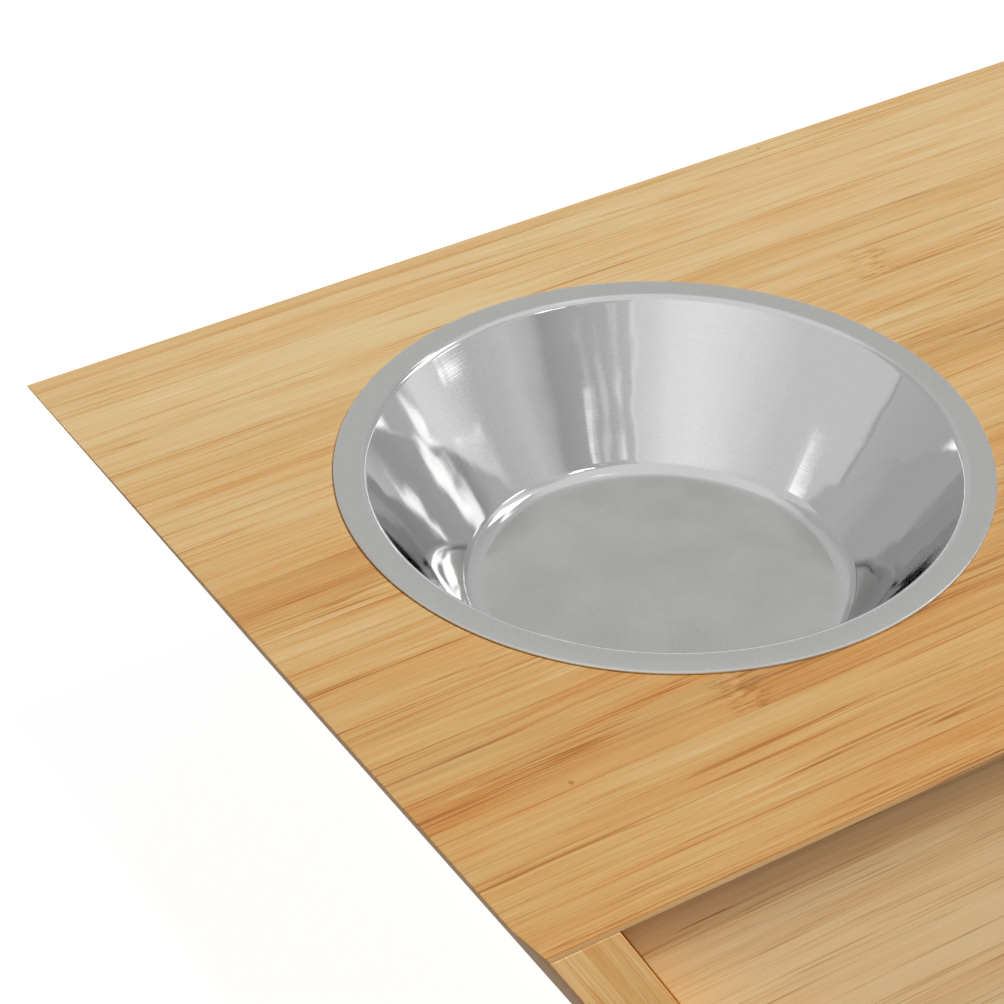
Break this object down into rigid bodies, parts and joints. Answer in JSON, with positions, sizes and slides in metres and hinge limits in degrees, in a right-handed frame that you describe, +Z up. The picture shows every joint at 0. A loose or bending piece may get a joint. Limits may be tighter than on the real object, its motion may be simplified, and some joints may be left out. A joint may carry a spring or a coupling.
{
  "type": "elevated dog feeder with storage drawer",
  "caption": "Raised pet feeding table of bamboo board with inward-leaning end panels, drop-in steel bowls in its top and a storage drawer below.",
  "frame": {"origin": "under the middle of the case, on the surface that the feet stand on", "axes": "+Z up, +X along the case to the right as seen from the front, -Y towards the front, where the drawer pulls out"},
  "size_m": [0.5, 0.249, 0.139],
  "materials": {
    "bamboo_top": "clear satin lacquer over horizontally laminated bamboo",
    "bamboo_case": "clear satin lacquer over laminated bamboo",
    "bamboo_inner": "sanded bamboo, unlacquered",
    "beech": "plain turned beech",
    "stainless": "polished inside, satin rim",
    "screw_steel": "zinc plated",
    "foot_rubber": "matt moulded rubber"
  },
  "bodies": {
    "case": {"top_board": "bamboo_top", "side_panel_left": "bamboo_case", "side_panel_right": "bamboo_case", "bottom_board": "bamboo_case", "back_panel": "bamboo_case", "corner_block_front_left": "bamboo_inner", "corner_block_front_right": "bamboo_inner", "corner_block_back_left": "bamboo_inner", "corner_block_back_right": "bamboo_inner", "block_screws_left": "screw_steel", "block_screws_right": "screw_steel", "side_screws_left": "screw_steel", "side_screws_right": "screw_steel", "case_dowels_left": "beech", "case_dowels_right": "beech", "foot_front_left": "foot_rubber", "foot_front_right": "foot_rubber", "foot_back_left": "foot_rubber", "foot_back_right": "foot_rubber", "foot_screws": "screw_steel", "drawer_runner_left": "bamboo_inner", "drawer_runner_right": "bamboo_inner"},
    "drawer": {"drawer_front": "bamboo_case", "drawer_side_left": "bamboo_inner", "drawer_side_right": "bamboo_inner", "drawer_back": "bamboo_inner", "drawer_bottom": "bamboo_inner", "drawer_dowels_left": "beech", "drawer_dowels_right": "beech", "drawer_screws_left": "screw_steel", "drawer_screws_right": "screw_steel", "drawer_bottom_screws": "screw_steel"},
    "bowl_left": {"bowl_left": "stainless"},
    "bowl_right": {"bowl_right": "stainless"}
  },
  "joints": [
    {"name": "drawer_slide", "type": "slide", "parent": "case", "child": "drawer", "axis": [0, -1, 0], "range_m": [0, 0.15]},
    {"name": "bowl_left_lift", "type": "slide", "parent": "case", "child": "bowl_left", "axis": [0, 0, 1], "range_m": [0, 0.06]},
    {"name": "bowl_right_lift", "type": "slide", "parent": "case", "child": "bowl_right", "axis": [0, 0, 1], "range_m": [0, 0.06]}
  ]
}
